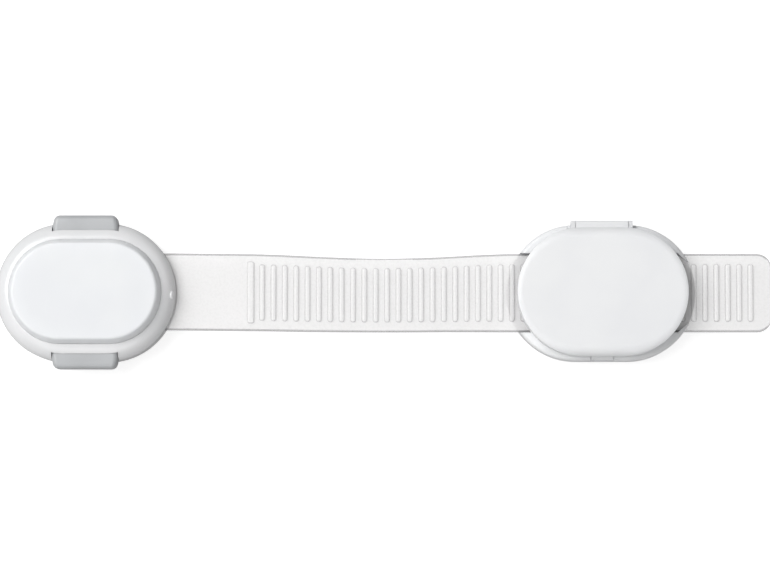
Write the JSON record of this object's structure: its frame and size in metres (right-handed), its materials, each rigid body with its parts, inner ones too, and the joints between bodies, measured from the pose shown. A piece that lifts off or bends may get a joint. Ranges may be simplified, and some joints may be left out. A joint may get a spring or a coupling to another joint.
{
  "type": "cabinet safety lock",
  "caption": "Stick-on cabinet lock: a ribbed translucent strap joins a squeeze-button latch head on its base plate to an adjuster with a hinged lid.",
  "frame": {"origin": "under the middle of the whole lock, on the plane of the two pad faces", "axes": "+X along the strap towards its free tail, +Y towards the side of the lid hinge, +Z away from the mounting surface"},
  "size_m": [0.1912, 0.0378, 0.0142],
  "materials": {
    "white_shell": "gloss white moulding",
    "cap": "satin white moulding",
    "lid": "satin white moulding",
    "button": "satin grey moulding",
    "strap": "frosted translucent flexible plastic",
    "foam": "matt adhesive foam",
    "acetal": "natural springy plastic",
    "steel": "bright steel"
  },
  "bodies": {
    "latch_base": {"latch_pad": "foam", "latch_base": "white_shell", "catch_spring": "acetal"},
    "head": {"back_plate": "white_shell", "back_plate_screws": "steel", "latch_housing": "white_shell", "latch_cap": "cap", "upper_button_spring": "steel", "lower_button_spring": "steel", "strap": "strap"},
    "upper_button": {"upper_button": "button"},
    "lower_button": {"lower_button": "button"},
    "adjuster": {"adjuster_pad": "foam", "adjuster_base": "white_shell", "lid_hinge_pin": "steel"},
    "lid": {"adjuster_lid": "lid", "strap_pawl": "acetal"}
  },
  "joints": [
    {"name": "latch_lift", "type": "slide", "parent": "latch_base", "child": "head", "axis": [0, 0, 1], "range_m": [0, 0.03], "deforming": ["catch_spring"]},
    {"name": "upper_button_press", "type": "slide", "parent": "head", "child": "upper_button", "axis": [0, -1, 0], "range_m": [0, 0.0015], "stiffness_N_per_m": 800, "springref_m": -0.00125, "deforming": ["upper_button_spring", "catch_spring"]},
    {"name": "lower_button_press", "type": "slide", "parent": "head", "child": "lower_button", "axis": [0, 1, 0], "range_m": [0, 0.0015], "stiffness_N_per_m": 800, "springref_m": -0.00125, "deforming": ["lower_button_spring", "catch_spring"]},
    {"name": "strap_adjust", "type": "slide", "parent": "head", "child": "adjuster", "axis": [1, 0, 0], "range_m": [-0.0784, 0.0224], "deforming": ["strap_pawl"]},
    {"name": "lid_open", "type": "hinge", "parent": "adjuster", "child": "lid", "pos_m": [0.05355, 0.0162, 0.007], "axis": [-1, 0, 0], "range_deg": [0, 100]}
  ]
}
